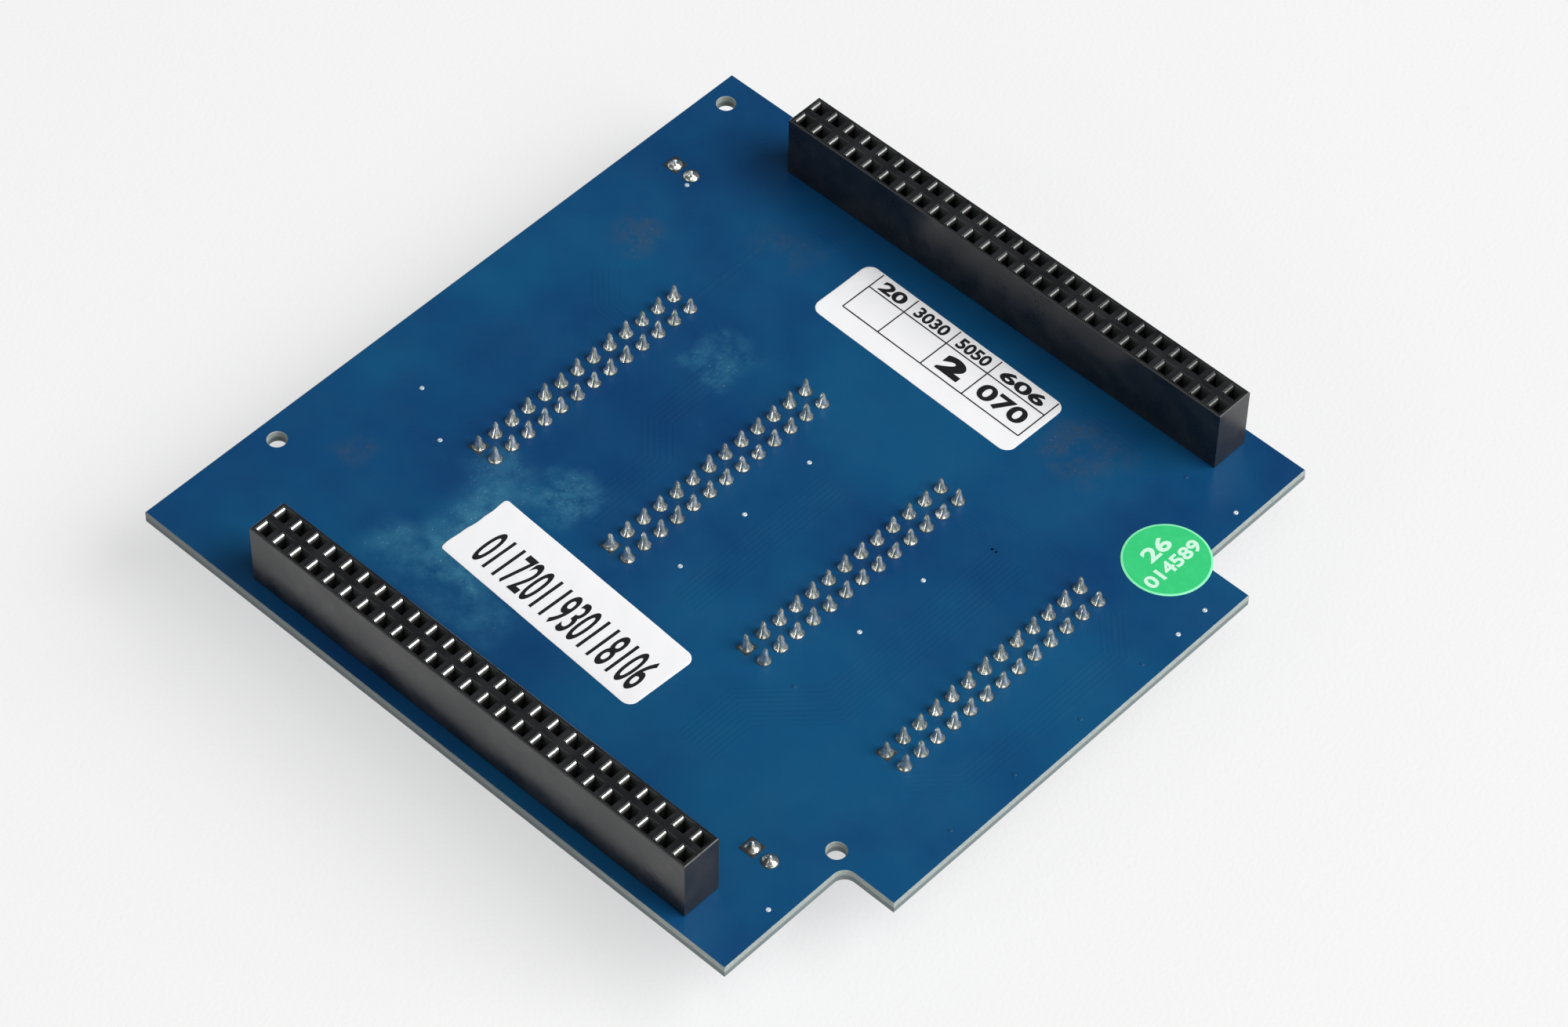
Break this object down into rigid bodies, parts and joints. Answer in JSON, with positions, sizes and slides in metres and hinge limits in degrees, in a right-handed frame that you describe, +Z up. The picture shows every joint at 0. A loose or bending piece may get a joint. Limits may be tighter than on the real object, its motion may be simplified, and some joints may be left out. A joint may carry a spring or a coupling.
{
  "type": "led display hub board",
  "caption": "Flat stepped circuit board with two long pin sockets on one face and a row of shrouded ribbon cable headers on the other; shares out signals to display panels.",
  "frame": {"origin": "middle of the board's outline, on the surface that the rims of the four box headers stand on", "axes": "+X along the two sockets, towards the tab; +Y along the rows of header pins, away from pin 1; +Z up, out of the side with the sockets and the solder joints"},
  "size_m": [0.093, 0.0914, 0.0192],
  "materials": {
    "solder_mask": "glossy blue solder mask over glass laminate",
    "black_plastic": "satin moulded black plastic",
    "contact_metal": "bright tin plate",
    "solder": "bright solder on tinned square pins",
    "can_metal": "drawn aluminium with a dark sleeve",
    "chip_plastic": "matt moulded black plastic",
    "ceramic": "fired ceramic",
    "label_paper": "white coated paper",
    "sticker_paper": "bright green printed paper"
  },
  "bodies": {
    "root": {"board": "solder_mask", "buffer_chips_1": "chip_plastic", "buffer_chips_2": "chip_plastic", "buffer_chips_3": "chip_plastic", "bypass_capacitors_1": "ceramic", "bypass_capacitors_2": "ceramic", "bypass_capacitors_3": "ceramic", "far_capacitor_can": "can_metal", "far_capacitor_leads": "solder", "far_socket_contacts": "contact_metal", "far_socket_housing": "black_plastic", "header_pins_1": "solder", "header_pins_2": "solder", "header_pins_3": "solder", "header_pins_4": "solder", "header_shroud_1": "black_plastic", "header_shroud_2": "black_plastic", "header_shroud_3": "black_plastic", "header_shroud_4": "black_plastic", "near_capacitor_can": "can_metal", "near_capacitor_leads": "solder", "near_socket_contacts": "contact_metal", "near_socket_housing": "black_plastic", "round_sticker": "sticker_paper", "strip_label": "label_paper", "table_label": "label_paper"}
  },
  "joints": []
}
